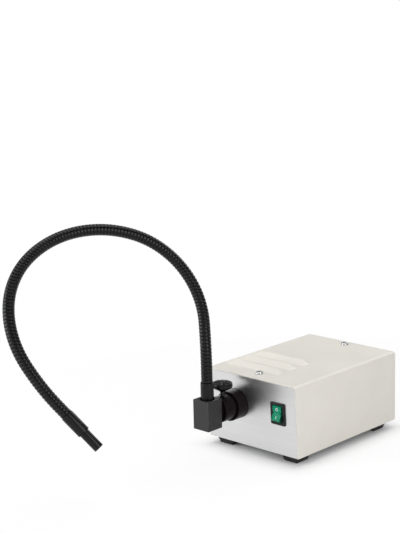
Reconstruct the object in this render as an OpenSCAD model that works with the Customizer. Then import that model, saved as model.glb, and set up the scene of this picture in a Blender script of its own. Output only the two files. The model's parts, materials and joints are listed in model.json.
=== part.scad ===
// Fiber optic illuminator: a sheet metal lamp house with one self-supporting gooseneck light guide.
// Millimetres. +Z is up, the front faces -Y, and the origin is on the table, midway between the feet.

/* [Housing] */
// Width of the cover, side to side
body_w = 160; // [158:1:200]
// Depth of the cover, front to back
body_d = 222; // [215:1:280]
// Height of the cover
body_h = 100.6; // [100:0.2:125]
// How far the bottom of the front is set back from its top
front_lean = 4.7; // [0:0.1:8]
// Thickness of the steel sheet
sheet = 1.5; // [1:0.1:2]
// Outside bend radius of the cover's two long top edges
bend_r = 4.5; // [3:0.5:8]
// Thickness of the aluminium front panel
panel_t = 3; // [2:0.5:4]
// Reveal between the cover and the panels inside it
reveal = 0.3; // [0.2:0.05:0.5]

/* [Feet] */
// Height of a foot
foot_h = 12; // [10:0.5:20]
// Side of a foot's square top
foot_top = 30; // [24:1:32]
// Side of a foot's square sole
foot_sole = 21.5; // [16:0.5:24]
// Foot centre from the cover's side
foot_inset_x = 21.7; // [16:0.1:30]
// Foot centre from the cover's front and back
foot_inset_y = 25.3; // [18:0.1:40]

/* [Louvres] */
// Length of a louvre at its base
louvre_l = 98; // [70:1:110]
// Depth of a louvre, front to back
louvre_d = 14; // [10:0.5:18]
// Height of a louvre's crest
louvre_h = 4; // [3:0.5:6]
// Spacing of the louvres
louvre_pitch = 27.6; // [20:0.2:34]

/* [Light port] */
// Port axis from the cover's left side
port_inset = 53.5; // [45:0.5:60]
// Port axis above the cover's bottom edge
port_h = 57.8; // [50:0.2:64]
// Radius of the port ring
ring_r = 20.8; // [19:0.2:24]
// How far the port ring stands out of the panel
ring_reach = 18.9; // [10:0.1:24]
// Radius of the guide socket
socket_r = 18; // [16:0.1:18.4]
// How far the guide socket stands out of the ring
socket_reach = 21.5; // [18:0.5:30]
// Radius of the light guide's spigot
spigot_r = 12.75; // [10:0.05:13.5]
// Radius of the clamping knob
knob_r = 14.3; // [9:0.1:15]

/* [Elbow] */
// Width and depth of the elbow block
elbow_w = 27; // [24:0.5:34]
// Height of the elbow block
elbow_h = 41; // [36:0.5:50]
// Radius of the gooseneck's foot ferrule
ferrule_r = 8.9; // [8:0.1:9.4]
// How far the ferrule stands out of the block
ferrule_reach = 23; // [12:0.5:40]

/* [Gooseneck] */
// Length of one link, joint to joint
link_l = 80.5; // [60:0.5:100]
// Ribs on one link
link_ribs = 17; // [12:1:20]
// Radius of the ribs' crests
rib_r = 7.8; // [7.5:0.05:8.2]
// Radius of the grooves between the ribs
groove_r = 7; // [6.6:0.05:7.2]
// Radius of the sheathed fibre bundle
bundle_r = 5.2; // [4.8:0.1:5.3]
// Radius of the bare bundle in the ferrule and the tip sleeve
bare_r = 4.9; // [4.4:0.1:5]

/* [Tip] */
// Radius of the tip sleeve
sleeve_r = 8.4; // [8:0.1:10]
// Length of the tip sleeve
sleeve_l = 31; // [24:0.5:40]
// Radius of the nose, the seat of a focusing lens
nose_r = 6.6; // [6:0.1:7.4]
// Length of the nose in front of the sleeve
nose_l = 27; // [15:0.5:40]

/* [Switch] */
// Switch centre from the cover's right side
switch_inset = 32; // [26:0.5:34]
// Width of the switch bezel
bezel_w = 25; // [24:0.5:28]
// Height of the switch bezel
bezel_h = 31.5; // [30:0.5:36]
// Rocker's full swing
rocker_swing = 28; // [22:1:32]

/* [Rear] */
// Side of the square fan
fan_side = 80; // [70:1:84]
// Depth of the fan
fan_d = 25; // [15:1:32]
// Mains inlet centre from the cover's right side
inlet_inset = 34; // [31:0.5:35]

/* [Hidden] */
$fn = 96;

// Cuts run this far past the face they open.
over = 1;
// Running fit of a pin or tube in its hole, on the radius
fit = 0.06;
// Clearance between faces that pass each other
gap = 0.3;

// Housing levels and walls
cover_z0 = foot_h - 0.8;
cover_z1 = cover_z0 + body_h;
corner_r = 3;
inner_w = body_w - 2 * sheet;
inner_top = cover_z1 - sheet;
pan_top = foot_h + sheet;
lip_top = pan_top + 12;
pan_corner = 11;
lean_angle = atan(front_lean / body_h);
pan_w = inner_w - 2 * reveal;
pan_front = front_y(cover_z0) + panel_t + 0.2;
rear_y = body_d / 2 - 1;
rear_inner = rear_y - sheet;
tab_z = inner_top - reveal - sheet;
// The depth at which the leaning front stands at height z
function front_y(z) = -body_d / 2 + front_lean * (cover_z1 - z) / body_h;

// Feet: the hole for the screw, and the web its head bears on
foot_hole_r = 1.6;
foot_web_z = foot_h - 4;

// Louvres: run of the sloping ends, wall of the hood, and the first crest's place
louvre_run = 11.5;
louvre_wall = 1.25;
louvre_y = -body_d / 2 + 43;
louvres = 3;

// Cover screws: a plain pan head on an M4 shank
screw_front_y = -body_d / 2 + 20;
screw_rear_y = body_d / 2 - 13.5;
cover_head_r = 5.3;
cover_head_h = 3.4;
m4_r = 2;

// Light port, from the panel forwards
port_x = -body_w / 2 + port_inset;
port_z = cover_z0 + port_h;
ring_y = front_y(port_z) - ring_reach;
socket_y = ring_y - socket_reach;
bulkhead_y = -body_d / 2 + 23;
flange_y = bulkhead_y - 3;
socket_back = flange_y - 3;
window_r = 16;
guide_end_y = socket_y + 49.5;
socket_bore_r = spigot_r + fit;
glass_r = 5.1;

// Clamp: knob, stud and pad stand on the port axis, at the top of the socket
clamp_y = socket_y + 12;
stud_r = 3.2;
pad_r = 3;
pad_h = 2;
pad_z = port_z + spigot_r + 0.2;
stud_z = pad_z + pad_h + 0.1;
hub_z = port_z + socket_r + 5.5;
hub_r = 4.1;
knob_z = hub_z + 5.5;
knob_h = 7.6;
knob_lobes = 8;

// Elbow block
elbow_back = socket_y - 4.6;
elbow_y = elbow_back - elbow_w / 2;
elbow_top = port_z + elbow_h / 2;
stub_r = 9;
stub_l = 6;
turn_r = 7.3;
turn_bar_r = 4.9;
ferrule_seat = 9.8;
ferrule_top = elbow_top + ferrule_reach;
well_r = ferrule_r + 1.7;
well_d = 3;

// Gooseneck: each link is an arc that bends by link_bend, after a turn by link_turn about its start
link_bend = [31, 36, 41, 28, 33, 38, 38, 12];
link_turn = [139, 104, 10, -17, 21, -2, -15, 18];
links = len(link_bend);
straight_end = 14;
hose_gap = 1.2;
face_gap = 1.3;
ball_r = 4.4;
bundle_hole_r = bundle_r + gap;
hose_bore_r = bundle_r + 0.7;
hose_sides = 8;
hose_bore_rings = 10;
rib_pitch = link_l / link_ribs;
function lead(i) = i == 0 ? straight_end : 0;
function tail(i) = i == links - 1 ? straight_end : 0;
function arc_r(i) = (link_l - lead(i) - tail(i)) / (link_bend[i] * PI / 180);
// The turning angle reached at length s along link i
function turned(i, s) = min(max((s - lead(i)) / arc_r(i) * 180 / PI, 0), link_bend[i]);
// The centre line of link i at length s, in the link's own frame
function centre(i, s) = let (a = turned(i, s), r = arc_r(i), on = s - lead(i) - r * a * PI / 180)
  [r * (1 - cos(a)), 0, lead(i) + r * sin(a)]
  + (s < lead(i) ? [0, 0, s - lead(i)] : on * [sin(a), 0, cos(a)]);
function ring(i, s, r) = let (c = centre(i, s), a = turned(i, s))
  [for (k = [0:hose_sides - 1]) let (f = 360 * k / hose_sides)
    c + r * [cos(f) * cos(a), sin(f), -cos(f) * sin(a)]];
// Radius of the ribbed outside at length s: a groove at each whole pitch, a crest halfway
function hose_r(s) = let (u = s / rib_pitch - floor(s / rib_pitch))
  groove_r + (rib_r - groove_r) * (1 - abs(2 * u - 1));
function hose_from(i) = i == 0 ? 0 : hose_gap;
function hose_to(i) = i == links - 1 ? link_l : link_l - hose_gap;

// Tip: the nose's seat in the sleeve is thinner, so the nose has a shoulder
nose_depth = 12;
nose_seat_r = nose_r - 0.4;
fibre_r = 4.3;

// Switch
switch_x = body_w / 2 - switch_inset;
switch_z = port_z;
bezel_t = 2;
switch_w = bezel_w - 3.6;
switch_h = bezel_h - 4.1;
switch_d = 20;
well_w = bezel_w - 9.8;
well_h = bezel_h - 7.5;
pivot_y = 2;
rocker_w = well_w - 2 * gap;
rocker_end_r = well_h / 2 - gap;

// Rear fan and mains inlet
fan_x = port_x;
fan_z = pan_top + 8 + fan_side / 2;
fan_bore_r = fan_side / 2 - 1.8;
fan_hole = fan_side / 2 - 4.25;
fan_hub_r = fan_side * 0.195;
fan_y1 = rear_inner;
fan_y0 = fan_y1 - fan_d;
fan_blades = 7;
fan_seat_t = 4;
spindle_r = 1.5;
wire = 1.6;
m4_clear = 2.2;
inlet_x = body_w / 2 - inlet_inset;
inlet_z = foot_h + 33;
inlet_w = 27.4;
inlet_h = 32;
inlet_d = 20;
flange_w = 50;
flange_h = 36;
flange_t = 3;
mouth_w = 24;
mouth_h = 16.4;
mouth_d = 16;
mouth_z = 5.5;
drawer_w = 20;
drawer_h = 7.4;
drawer_z = -11.5;
drawer_l = 17;
tray_floor = 1;
fuse_r = 2.6;

// Lamp: reflector rim, lamp base and socket follow one another along the port axis
rim_y = guide_end_y + 32;
lamp_r = 25;
lamp_neck_r = 9;
reflector_d = 24;
lamp_base_y = rim_y + reflector_d;
lamp_base_l = 8;
lamp_socket_y = lamp_base_y + lamp_base_l + 0.2;
lamp_socket_back = lamp_socket_y + 12;
lamp_pin_r = 0.8;
lamp_pin_l = 7;
pin_gap = 2.65;

// Transformer: laminations stand in the YZ plane, the winding wraps the middle leg
trafo_x = body_w / 2 - 38;
trafo_y = -5;
trafo_l = 78;
trafo_h = 65;
trafo_stack = 40;
trafo_leg = 13;
trafo_window = 13;
coil_over = 10;
trafo_z = pan_top;

// Cooling slots in the pan, below the lamp
slots = 8;
slot_pitch = 8;
slot_w = 3;
slot_l = 34;
slot_y = lamp_base_y;

// Terminal strip
strip_x = body_w / 2 - 44;
strip_y = trafo_y + trafo_l / 2 + 22;
strip_l = 36;
strip_w = 16;
strip_h = 14;

// Radius of an inner lead
lead_r = 1.1;

// A shape in the XZ plane, drawn out along Y
module along_y(y0, y1) {
  translate([0, y1, 0]) rotate([90, 0, 0]) linear_extrude(y1 - y0) children();
}

// A shape in the YZ plane, drawn out across X about x = 0
module across_x(w) {
  translate([-w / 2, 0, 0]) rotate([90, 0, 90]) linear_extrude(w) children();
}

// A round bar along Y
module bar_y(r, y0, y1) {
  translate([0, y1, 0]) rotate([90, 0, 0]) cylinder(r = r, h = y1 - y0);
}

// A turned part about the port axis: the outline gives radius and depth y
module turned_y() {
  rotate([-90, 0, 0]) rotate_extrude() children();
}

// The section of a bent sheet hood: square below, its two top corners round
module hood(w, z0, z1, r) {
  translate([-w / 2, z0]) square([w, z1 - z0 - r]);
  translate([-w / 2 + r, z0]) square([w - 2 * r, z1 - z0]);
  for (side = [-1, 1]) translate([side * (w / 2 - r), z1 - r]) circle(r = r);
}

// A flat rectangle with round corners, centred
module round_rect(w, h, r) {
  square([w - 2 * r, h], center = true);
  square([w, h - 2 * r], center = true);
  for (x = [-1, 1], y = [-1, 1]) translate([x * (w / 2 - r), y * (h / 2 - r)]) circle(r = r);
}

module on_port() {
  translate([port_x, 0, port_z]) children();
}

// The leaning front: x and z on the panel, -Y out of it
module on_front(x, z) {
  translate([x, front_y(z), z]) rotate([lean_angle, 0, 0]) children();
}

module at_foot(side, end) {
  translate([side * (body_w / 2 - foot_inset_x), end * (body_d / 2 - foot_inset_y), 0]) children();
}

// A louvre's hood, its open side at y = 0; the drop lets it sink into the sheet
module louvre_form(half, run, d, h, drop) {
  intersection() {
    across_x(2 * half) polygon([[-d, -drop], [0, -drop], [0, h], [-d, 0]]);
    along_y(-d, 0)
      polygon([[-half, -drop], [half, -drop], [half, 0], [half - run, h], [run - half, h], [-half, 0]]);
  }
}

module each_louvre() {
  for (i = [0:louvres - 1]) translate([port_x + 1.5, louvre_y + i * louvre_pitch, cover_z1]) children();
}

module louvre_hood() {
  louvre_form(louvre_l / 2, louvre_run, louvre_d, louvre_h, sheet);
}

// The air space under a hood: the same form, smaller by the wall, and open at the back
module louvre_void() {
  shrink = 1 - louvre_wall / louvre_h;
  half = louvre_l / 2 - louvre_run * louvre_wall / louvre_h;
  louvre_form(half, louvre_run * shrink, louvre_d * shrink, louvre_h * shrink, sheet + over);
  crest = half - louvre_run * shrink;
  translate([-crest, -over, 0]) cube([2 * crest, 2 * over, louvre_h * shrink]);
}

module cover() {
  color([0.86, 0.84, 0.8]) difference() {
    union() {
      difference() {
        along_y(-body_d / 2, body_d / 2) hood(body_w, cover_z0, cover_z1, bend_r);
        along_y(-body_d / 2 - over, body_d / 2 + over)
          hood(inner_w, cover_z0 - over, inner_top, bend_r - sheet);
      }
      each_louvre() louvre_hood();
    }
    each_louvre() louvre_void();
    // The front edges lean
    across_x(body_w + 2 * over)
      polygon([[-body_d / 2 - over, cover_z0 - over], [front_y(cover_z0 - over), cover_z0 - over],
        [front_y(cover_z1 + over), cover_z1 + over], [-body_d / 2 - over, cover_z1 + over]]);
    // The rear bottom corners of the sides are round
    across_x(body_w + 2 * over) difference() {
      translate([body_d / 2 - corner_r, cover_z0 - over]) square([corner_r + over, corner_r + over]);
      translate([body_d / 2 - corner_r, cover_z0 + corner_r]) circle(r = corner_r);
    }
    for (y = [screw_front_y, screw_rear_y]) translate([0, y, tab_z]) cylinder(r = m4_clear, h = 4 * sheet);
  }
}

module front_panel() {
  color([0.84, 0.84, 0.85]) difference() {
    intersection() {
      across_x(pan_w) polygon([[front_y(cover_z0), cover_z0], [front_y(cover_z1), cover_z1],
        [front_y(cover_z1) + panel_t, cover_z1], [front_y(cover_z0) + panel_t, cover_z0]]);
      along_y(-body_d, 0) hood(pan_w, cover_z0, inner_top - reveal, bend_r - sheet);
    }
    on_port() bar_y(ring_r + gap, -body_d, 0);
    on_front(switch_x, switch_z) along_y(-over, 2 * panel_t)
      square([switch_w + 2 * gap, switch_h + 2 * gap], center = true);
  }
}

// Pan: floor, four lips, cooling slots below the lamp, and holes for the foot screws
module base_pan() {
  pan_d = rear_inner - pan_front;
  low_lip = 4;
  color([0.72, 0.73, 0.74]) difference() {
    translate([-pan_w / 2, pan_front, foot_h]) cube([pan_w, pan_d, lip_top - foot_h]);
    translate([-pan_w / 2 + sheet, pan_front + sheet, pan_top])
      cube([pan_w - 2 * sheet, pan_d - 2 * sheet, lip_top]);
    // Between the corners the front and rear lips are cut low, clear of the fan
    translate([-pan_w / 2 + pan_corner, pan_front - over, pan_top + low_lip])
      cube([pan_w - 2 * pan_corner, pan_d + 2 * over, lip_top]);
    for (i = [0:slots - 1]) translate([port_x - (slots - 1) * slot_pitch / 2 + i * slot_pitch, slot_y, 0])
      translate([-slot_w / 2, 0, foot_h - over]) cube([slot_w, slot_l, sheet + 2 * over]);
    for (side = [-1, 1], end = [-1, 1]) at_foot(side, end) cylinder(r = foot_hole_r, h = pan_top + over);
  }
}

module rear_panel() {
  color([0.86, 0.84, 0.8]) difference() {
    union() {
      along_y(rear_inner, rear_y) hood(pan_w, foot_h, inner_top - reveal, bend_r - sheet);
      translate([-12, rear_inner - 20, tab_z]) cube([24, 20 + sheet, sheet]);
    }
    on_fan() bar_y(fan_bore_r, 0, body_d);
    at_fan_holes() bar_y(m4_clear, 0, body_d);
    translate([inlet_x, 0, inlet_z]) along_y(rear_inner - over, rear_y + over)
      square([inlet_w + 2 * gap, inlet_h + 2 * gap], center = true);
    translate([0, screw_rear_y, tab_z - over]) cylinder(r = m4_r + fit, h = sheet + 2 * over);
  }
}

// A foot: a square pyramid cut off below, its sole recessed for the screw head
module foot(side, end) {
  half_top = foot_top / 2;
  half_sole = foot_sole / 2;
  side_view = [[-half_sole, 0], [half_sole, 0], [half_top, foot_h], [-half_top, foot_h]];
  color([0.14, 0.13, 0.14]) at_foot(side, end) difference() {
    intersection() {
      across_x(foot_top) polygon(side_view);
      along_y(-half_top, half_top) polygon(side_view);
    }
    translate([0, 0, -over]) cylinder(r = 4, h = foot_web_z + over);
    cylinder(r = foot_hole_r, h = foot_h + over);
  }
}

module foot_screws() {
  head_h = 2.2;
  color("silver") for (side = [-1, 1], end = [-1, 1]) at_foot(side, end) {
    translate([0, 0, foot_web_z - head_h]) cylinder(r = 3, h = head_h);
    translate([0, 0, foot_web_z - over]) cylinder(r = foot_hole_r - fit, h = 10);
  }
}

// A pan head with a cross recess, on its shank
module pan_screw(head_r, head_h, shank_r, shank_l) {
  slot = [head_r * 1.1, 1.1];
  difference() {
    union() {
      rotate_extrude() polygon([[0, 0], [head_r, 0], [head_r, head_h * 0.45], [head_r * 0.82, head_h * 0.82],
        [head_r * 0.5, head_h], [0, head_h]]);
      translate([0, 0, -shank_l]) cylinder(r = shank_r, h = shank_l + head_h * 0.2);
    }
    for (a = [0, 90]) rotate([0, 0, a]) translate([0, 0, head_h * 0.45])
      linear_extrude(head_h) square(slot, center = true);
  }
}

module cover_screws() {
  color("silver") for (y = [screw_front_y, screw_rear_y]) translate([0, y, cover_z1])
    rotate([0, 0, 20]) pan_screw(cover_head_r, cover_head_h, m4_r, 7);
}

// Bulkhead: carries the port ring, and its tab takes the front cover screw
module lamp_bulkhead() {
  left = port_x - ring_r - 7.2;
  right = 12;
  tab_front = screw_front_y - 8;
  color([0.7, 0.71, 0.72]) difference() {
    union() {
      translate([left, bulkhead_y, pan_top]) cube([right - left, sheet, inner_top - reveal - pan_top]);
      translate([-right, tab_front, tab_z]) cube([2 * right, bulkhead_y - tab_front + sheet, sheet]);
      translate([left, bulkhead_y, pan_top]) cube([right - left, 13, sheet]);
    }
    on_port() bar_y(window_r, -body_d, 0);
    translate([0, screw_front_y, tab_z - over]) cylinder(r = m4_r + fit, h = sheet + 2 * over);
  }
}

// Port ring: a turned sleeve through the panel, with a flange on the bulkhead
module port_ring() {
  bore = socket_r + 0.15;
  color([0.19, 0.16, 0.16]) on_port() turned_y()
    polygon([[bore, ring_y + 0.8], [bore + 0.8, ring_y], [ring_r - 0.5, ring_y], [ring_r, ring_y + 0.5],
      [ring_r, flange_y], [ring_r + 6, flange_y], [ring_r + 6, bulkhead_y], [window_r, bulkhead_y],
      [window_r, socket_back], [bore, socket_back]]);
}

// Guide socket: the clamp's threaded hole goes through the top of its wall
module guide_socket() {
  edge = 0.8;
  color([0.2, 0.17, 0.17]) difference() {
    on_port() turned_y()
      polygon([[socket_bore_r, socket_y + edge], [socket_bore_r + edge, socket_y], [socket_r - edge, socket_y],
        [socket_r, socket_y + edge], [socket_r, socket_back], [socket_bore_r, socket_back]]);
    translate([port_x, clamp_y, port_z]) cylinder(r = stud_r + fit, h = socket_r + over);
  }
}

module at_clamp(z) {
  translate([port_x, clamp_y, z]) children();
}

module clamp_pad() {
  color([0.75, 0.62, 0.3]) at_clamp(pad_z) cylinder(r = pad_r, h = pad_h);
}

module clamp_stud() {
  color("silver") at_clamp(stud_z) cylinder(r = stud_r, h = knob_z + 2 - stud_z);
}

// Knob: a cone below, a lobed rim, and a crown with radial flutes
module clamp_knob() {
  crown = 1.2;
  lobe_cut_r = 2.3;
  lobe_dip = 0.4;
  color([0.15, 0.15, 0.16]) at_clamp(0) difference() {
    rotate_extrude() polygon([[0, hub_z], [hub_r, hub_z], [hub_r, hub_z + 0.8], [knob_r - 1, knob_z],
      [knob_r, knob_z + 1], [knob_r, knob_z + knob_h - 1.2], [knob_r - 1.2, knob_z + knob_h],
      [2.5, knob_z + knob_h + crown], [0, knob_z + knob_h + crown]]);
    translate([0, 0, hub_z - over]) cylinder(r = stud_r, h = knob_z + 2 - hub_z + over);
    for (i = [0:knob_lobes - 1]) rotate([0, 0, 360 / knob_lobes * i]) {
      translate([knob_r + lobe_cut_r - lobe_dip, 0, hub_z]) cylinder(r = lobe_cut_r, h = knob_h + 10);
      translate([3, 0, knob_z + knob_h + 1.7]) rotate([0, 97, 0]) cylinder(r = 1.3, h = knob_r);
    }
  }
}

// Spigot: slides in the socket, its stub carries the elbow block
module guide_spigot() {
  shoulder = elbow_back + 0.2;
  edge = 0.8;
  bore = glass_r + 0.2;
  color([0.16, 0.15, 0.16]) on_port() turned_y()
    polygon([[bore, elbow_back - stub_l], [stub_r, elbow_back - stub_l], [stub_r, shoulder], [spigot_r, shoulder],
      [spigot_r, guide_end_y - edge], [spigot_r - edge, guide_end_y], [bore, guide_end_y]]);
}

module bundle_inlet() {
  color([0.85, 0.88, 0.86]) on_port() bar_y(glass_r, elbow_back - stub_l + 0.2, guide_end_y - 0.2);
}

// The quarter turn from the port axis up to the ferrule, then straight up to height z1
module elbow_turn(r, z1) {
  translate([port_x, elbow_y + turn_r, port_z + turn_r]) rotate([0, -90, 0]) rotate([0, 0, 180])
    rotate_extrude(angle = 90) translate([turn_r, 0]) circle(r = r);
  translate([port_x, elbow_y, port_z + turn_r]) cylinder(r = r, h = z1 - port_z - turn_r);
}

module elbow_block() {
  seat = elbow_top - ferrule_seat - 0.2;
  color([0.24, 0.24, 0.25]) difference() {
    translate([port_x, elbow_y, port_z]) cube([elbow_w, elbow_w, elbow_h], center = true);
    on_port() bar_y(stub_r + fit, elbow_back - stub_l - 0.2, elbow_back + over);
    elbow_turn(turn_bar_r + gap, seat + over);
    translate([port_x, elbow_y, seat]) cylinder(r = ferrule_r + fit, h = elbow_h);
    translate([port_x, elbow_y, elbow_top - well_d]) cylinder(r = well_r, h = well_d + over);
  }
}

// Fibre bundle where it turns inside the block
module bundle_elbow() {
  color([0.1, 0.1, 0.11]) elbow_turn(turn_bar_r, elbow_top - ferrule_seat - 0.3);
}

module neck_ferrule() {
  bottom = elbow_top - ferrule_seat;
  color([0.2, 0.2, 0.21]) translate([port_x, elbow_y, 0]) rotate_extrude()
    polygon([[bundle_hole_r, bottom], [ferrule_r, bottom], [ferrule_r, ferrule_top - 0.8],
      [ferrule_r - 0.8, ferrule_top], [bundle_hole_r, ferrule_top]]);
}

// Step over link i to its far end, in its own frame
module over_link(i) {
  translate(centre(i, link_l)) rotate([0, link_bend[i], 0]) children();
}

// The start of link i: the links before it carry it
module at_link(i) {
  if (i == 0) translate([port_x, elbow_y, ferrule_top]) rotate([0, 0, link_turn[0]]) children();
  else at_link(i - 1) over_link(i - 1) rotate([0, 0, link_turn[i]]) children();
}

module at_tip() {
  at_link(links - 1) over_link(links - 1) children();
}

// The bent stretch of the bundle along link i
module bundle_bend(i) {
  a0 = turned(i, i == 0 ? 0 : face_gap);
  a1 = turned(i, i == links - 1 ? link_l : link_l - face_gap);
  translate([arc_r(i), 0, lead(i)]) rotate([90, 0, 0]) rotate([0, 0, 180 - a1])
    rotate_extrude(angle = a1 - a0) translate([arc_r(i), 0]) circle(r = bundle_r);
}

// Sheathed fibre bundle of one link: a ball at its far end turns in the next one's cup
module neck_bundle(i) {
  root = ferrule_top - elbow_top + ferrule_seat - 0.4;
  lap = 1;
  color([0.1, 0.1, 0.11]) at_link(i) difference() {
    union() {
      bundle_bend(i);
      if (i == 0) translate([0, 0, -root]) cylinder(r = bare_r, h = root + lead(0) + lap);
      if (i < links - 1) translate(centre(i, link_l)) sphere(r = ball_r);
      else translate(centre(i, link_l - tail(i))) rotate([0, link_bend[i], 0]) translate([0, 0, -lap])
        cylinder(r = bare_r, h = lap + tail(i) + sleeve_l - nose_depth - 0.3);
    }
    if (i > 0) sphere(r = ball_r + gap);
  }
}

// Ribbed hose of one link: one closed skin, outside rings then bore rings
module neck_hose(i) {
  n = hose_sides;
  outer_s = concat([hose_from(i)], [for (k = [1:2 * link_ribs - 1]) k * rib_pitch / 2], [hose_to(i)]);
  rows = len(outer_s);
  bores = hose_bore_rings;
  outside = [for (s = outer_s) each ring(i, s, hose_r(s))];
  bore_step = (hose_to(i) - hose_from(i)) / (bores - 1);
  bore = [for (k = [0:bores - 1]) each ring(i, hose_from(i) + k * bore_step, hose_bore_r)];
  b0 = rows * n;
  last_out = (rows - 1) * n;
  last_in = b0 + (bores - 1) * n;
  skin = [for (j = [0:rows - 2], k = [0:n - 1])
    let (a = j * n + k, b = j * n + (k + 1) % n) each [[a, a + n, b], [b, a + n, b + n]]];
  lining = [for (j = [0:bores - 2], k = [0:n - 1])
    let (a = b0 + j * n + k, b = b0 + j * n + (k + 1) % n) each [[a, b, a + n], [b, b + n, a + n]]];
  near = [for (k = [0:n - 1])
    let (m = (k + 1) % n) each [[k, m, b0 + k], [m, b0 + m, b0 + k]]];
  far = [for (k = [0:n - 1])
    let (a = last_out + k, b = last_out + (k + 1) % n, c = last_in + k, d = last_in + (k + 1) % n)
      each [[a, c, b], [b, c, d]]];
  color([0.12, 0.12, 0.13]) at_link(i) polyhedron(concat(outside, bore), concat(skin, lining, near, far));
}

module tip_sleeve() {
  seat = sleeve_l - nose_depth;
  edge = 0.6;
  color([0.13, 0.13, 0.14]) at_tip() rotate_extrude()
    polygon([[bundle_hole_r, 0], [sleeve_r - edge, 0], [sleeve_r, edge], [sleeve_r, sleeve_l - edge],
      [sleeve_r - edge, sleeve_l], [nose_seat_r + fit, sleeve_l], [nose_seat_r + fit, seat],
      [bundle_hole_r, seat]]);
}

module tip_nose() {
  start = sleeve_l - nose_depth + 0.1;
  end = sleeve_l + nose_l;
  bore = fibre_r + 0.2;
  edge = 0.5;
  color([0.12, 0.12, 0.13]) at_tip() rotate_extrude()
    polygon([[bore, start], [nose_seat_r, start], [nose_seat_r, sleeve_l], [nose_r, sleeve_l],
      [nose_r, end - edge], [nose_r - edge, end], [bore, end]]);
}

module tip_fibres() {
  color([0.85, 0.88, 0.86]) at_tip() translate([0, 0, sleeve_l - nose_depth])
    cylinder(r = fibre_r, h = nose_l + nose_depth - 0.3);
}

// Switch: bezel outside the panel, box behind it, an open well for the rocker
module switch_body() {
  color([0.12, 0.12, 0.13]) on_front(switch_x, switch_z) difference() {
    union() {
      along_y(-bezel_t, 0) round_rect(bezel_w, bezel_h, 2);
      along_y(-0.1, switch_d) square([switch_w, switch_h], center = true);
    }
    along_y(-bezel_t - over, 12) square([well_w, well_h], center = true);
    translate([0, pivot_y, 0]) rotate([0, 90, 0]) cylinder(r = 1.2 + fit, h = well_w + 2.4, center = true);
  }
}

module at_pivot() {
  on_front(switch_x, switch_z) translate([0, pivot_y, 0]) children();
}

// Rocker: two faces meet in a shallow valley, the ends run round the pivot; at rest its top is pressed in
module switch_rocker() {
  tilt = rocker_swing / 2;
  reach = rocker_end_r;
  valley = -4.95;
  notch_r = 2;
  brow = valley - reach * tan(tilt);
  color([0.06, 0.59, 0.44]) at_pivot() rotate([-tilt, 0, 0]) difference() {
    union() {
      intersection() {
        across_x(rocker_w)
          polygon([[valley, 0], [brow, reach], [2, reach], [5, 4], [5, -4], [2, -reach], [brow, -reach]]);
        rotate([0, 90, 0]) cylinder(r = reach, h = rocker_w, center = true);
      }
      rotate([0, 90, 0]) cylinder(r = 1.2, h = well_w + 2, center = true);
    }
    for (side = [-1, 1]) translate([side * (rocker_w / 2 + 0.6), 0, 0]) bar_y(notch_r, -9, -2.4);
  }
}

module switch_terminals() {
  color([0.8, 0.7, 0.4]) on_front(switch_x, switch_z) for (x = [-5, 5], z = [-9, 0, 9])
    translate([x - 0.4, switch_d, z - 3.15]) cube([0.8, 9, 6.3]);
}

module on_fan() {
  translate([fan_x, 0, fan_z]) children();
}

module at_fan_holes() {
  on_fan() at_guard_eyes() children();
}

// Fan frame: a square ring with a motor seat on four arms at its rear
module fan_frame() {
  arm_w = 5;
  seat_y = fan_y1 - fan_seat_t;
  color([0.1, 0.1, 0.11]) difference() {
    on_fan() {
      difference() {
        along_y(fan_y0, fan_y1) round_rect(fan_side, fan_side, 4);
        bar_y(fan_bore_r, fan_y0 - over, fan_y1 + over);
      }
      bar_y(fan_hub_r, seat_y, fan_y1);
      for (a = [45, 135]) rotate([0, a, 0]) along_y(seat_y, fan_y1) square([fan_side - 2, arm_w], center = true);
    }
    at_fan_holes() bar_y(m4_clear, fan_y0 - over, fan_y1 + over);
    on_fan() bar_y(spindle_r + fit, seat_y - over, fan_y1 + over);
  }
}

// Fan rotor: hub, spindle and pitched blades
module fan_rotor() {
  span = fan_bore_r - 1;
  front = fan_y0 + 0.8;
  back = fan_y1 - fan_seat_t - 0.8;
  color([0.14, 0.14, 0.15]) on_fan() {
    bar_y(fan_hub_r, front, back);
    bar_y(spindle_r, fan_y0 + 2, fan_y1 - 0.5);
    intersection() {
      bar_y(span, front, back);
      for (i = [0:fan_blades - 1]) rotate([0, 360 / fan_blades * i, 0])
        translate([span / 2, (front + back) / 2, 0]) rotate([40, 0, 0])
          cube([span + 2, 2 * fan_d, 1.6], center = true);
    }
  }
}

// Finger guard: wire rings on two bars, with an eye at each fan screw
module fan_guard() {
  rings = 4;
  ring_step = (fan_bore_r - 1) / rings;
  bar_l = 2 * sqrt(2) * fan_hole;
  color("silver") on_fan() translate([0, rear_y, 0]) {
    for (i = [1:rings]) rotate([-90, 0, 0]) difference() {
      cylinder(r = i * ring_step + wire / 2, h = wire);
      translate([0, 0, -over]) cylinder(r = i * ring_step - wire / 2, h = wire + 2 * over);
    }
    difference() {
      for (a = [45, 135]) rotate([0, a, 0]) along_y(0, wire) square([bar_l, wire], center = true);
      at_guard_eyes() bar_y(3, -over, wire + over);
    }
    at_guard_eyes() difference() {
      bar_y(4, 0, wire);
      bar_y(m4_clear, -over, wire + over);
    }
  }
}

module at_guard_eyes() {
  for (x = [-1, 1], z = [-1, 1]) translate([x * fan_hole, 0, z * fan_hole]) children();
}

module fan_screws() {
  color("silver") at_fan_holes() translate([0, rear_y + wire, 0]) rotate([-90, 0, 0])
    pan_screw(3.8, 2.6, m4_r, wire + sheet + fan_d);
}

module on_inlet() {
  translate([inlet_x, 0, inlet_z]) children();
}

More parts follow.
